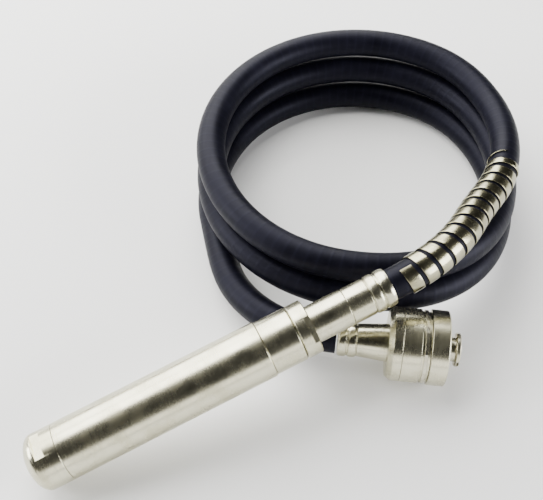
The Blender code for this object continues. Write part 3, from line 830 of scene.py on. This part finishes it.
def build_guard():
    """A right-handed helix of band round the lead, its edges rounded and its far end pointed."""
    curve = [COIL_CENTRE + point for point in smooth_route(LEAD_ROUTE, 24)]
    frames = carried_frames(curve)
    lengths = np.concatenate(
        ([0.0], np.cumsum([(b - a).length for a, b in zip(curve, curve[1:])]))
    )
    places = np.array(curve)
    normals = np.array([normal for _, normal in frames])
    tangents = np.array([tangent for tangent, _ in frames])

    def on_band(distance, turn, radius):
        place, normal, tangent = (
            Vector([np.interp(distance, lengths, column) for column in table.T])
            for table in (places, normals, tangents)
        )
        side = tangent.cross(normal)
        return place + (normal * math.cos(turn) + side * math.sin(turn)) * radius

    steps = 60
    inner = HOSE_R + GAP
    outer = inner + GUARD_THICKNESS
    lip = 0.0005
    total = GUARD_TURNS * steps
    points, faces, marks = [], [], []
    for step in range(total + 1):
        turn = math.tau * step / steps
        left = steps + step
        right = total - step + 1
        half = GUARD_WIDTH / 2 * min(1.0, left / steps, right / (1.5 * steps))
        edge = min(lip, 0.4 * half)
        middle = GUARD_START + GUARD_WIDTH / 2 + GUARD_PITCH * step / steps
        section = (
            (inner, -half + edge), (inner + edge, -half), (outer - edge, -half),
            (outer - 0.3 * edge, -half + 0.3 * edge), (outer, -half + edge),
            (outer + 0.0001, -0.4 * half), (outer + 0.0001, 0.4 * half),
            (outer, half - edge), (outer - 0.3 * edge, half - 0.3 * edge),
            (outer - edge, half), (inner + edge, half), (inner, half - edge),
        )
        for radius, offset in section:
            points.append(on_band(middle + offset, turn, radius))
            marks.append((turn * outer, offset))
    size = len(section)
    faces.append(tuple(reversed(range(size))))
    for step in range(total):
        base = size * step
        for i in range(size):
            j = (i + 1) % size
            faces.append((base + i, base + j, base + size + j, base + size + i))
    faces.append(tuple(size * total + i for i in range(size)))
    mesh = bpy.data.meshes.new("guard_wound")
    mesh.from_pydata([tuple(p) for p in points], [], faces)
    layer = mesh.uv_layers.new(name="along")
    for loop in mesh.loops:
        layer.data[loop.index].uv = marks[loop.vertex_index]
    shape = bmesh.new()
    shape.from_mesh(mesh)
    bmesh.ops.recalc_face_normals(shape, faces=shape.faces)
    shape.to_mesh(mesh)
    shape.free()
    mesh.shade_smooth()
    mesh.set_sharp_from_angle(angle=math.radians(50))
    guard = bpy.data.objects.new("guard_wound", mesh)
    bpy.context.scene.collection.objects.link(guard)
    finish_piece(guard, "guard_band")
    even_normals(guard)
    return guard


build_head()
coupling_pieces = build_coupling()
guard = build_guard()
hose, line, run = build_hose()
for piece in bpy.context.scene.objects:
    if piece.name.endswith("_turned"):
        even_normals(piece)


# ---------------------------------------------------------------- floor, light and camera


def plain(name, colour, roughness):
    """Faintly mottled floor."""
    s = Shader(name)
    places = s.node("ShaderNodeTexCoord").outputs["Object"]
    tone = s.noise(places, 3.0, 3.0, 0.5)
    s.link(s.mix(s.ramp(tone, 0.3, 0.7, 0.0, 0.5), colour, tuple(0.98 * c for c in colour)),
           s.main.inputs["Base Color"])
    s.main.inputs["Roughness"].default_value = roughness
    s.main.inputs["Specular IOR Level"].default_value = 0.1
    return s.material


def area_light(name, place, aim, size, power, colour=(1.0, 1.0, 1.0)):
    data = bpy.data.lights.new(name, "AREA")
    data.shape = "RECTANGLE"
    data.size, data.size_y = size
    data.energy = power
    data.color = colour
    light = bpy.data.objects.new(name, data)
    bpy.context.scene.collection.objects.link(light)
    light.location = place
    light.rotation_euler = (Vector(aim) - Vector(place)).to_track_quat("-Z", "Y").to_euler()
    return light


corners = ((-1, -1), (1, -1), (1, 1), (-1, 1))
floor = link_mesh(
    "floor", [(FLOOR_HALF * x, FLOOR_HALF * y, FLOOR_Z) for x, y in corners], [(0, 1, 2, 3)]
)
floor.data.materials.append(plain("floor_white", (0.90, 0.90, 0.90), 0.9))

MIDDLE = (0.08, 0.25, 0.03)
area_light("light_back", (-0.80, 1.60, 0.95), MIDDLE, (2.6, 1.2), 82.0, (1.0, 0.995, 0.965))
area_light("light_high", (-0.60, 0.95, 1.80), MIDDLE, (2.4, 1.0), 72.0, (1.0, 0.995, 0.965))
area_light("light_front", (0.55, -1.70, 0.42), MIDDLE, (3.2, 0.7), 17.0, (1.0, 0.985, 0.94))
area_light("light_left", (-1.9, -0.10, 0.8), MIDDLE, (1.2, 1.2), 55.0)
area_light("light_right", (2.1, -0.20, 0.7), MIDDLE, (1.6, 1.2), 85.0)

world = bpy.data.worlds.new("studio")
world.use_nodes = True
world.node_tree.nodes["Background"].inputs["Color"].default_value = (0.30, 0.29, 0.26, 1.0)
world.node_tree.nodes["Background"].inputs["Strength"].default_value = 0.06
bpy.context.scene.world = world

camera_data = bpy.data.cameras.new("camera")
camera_data.lens = CAMERA_LENS
camera_data.sensor_width = 36.0
camera_data.clip_start = 0.01
camera = bpy.data.objects.new("camera", camera_data)
bpy.context.scene.collection.objects.link(camera)
camera.matrix_world = (
    Matrix.Translation(CAMERA_PLACE)
    @ Matrix.Rotation(CAMERA_HEADING, 4, "Z")
    @ Matrix.Rotation(math.pi / 2 - CAMERA_PITCH, 4, "X")
    @ Matrix.Rotation(CAMERA_ROLL, 4, "Z")
)
bpy.context.scene.camera = camera
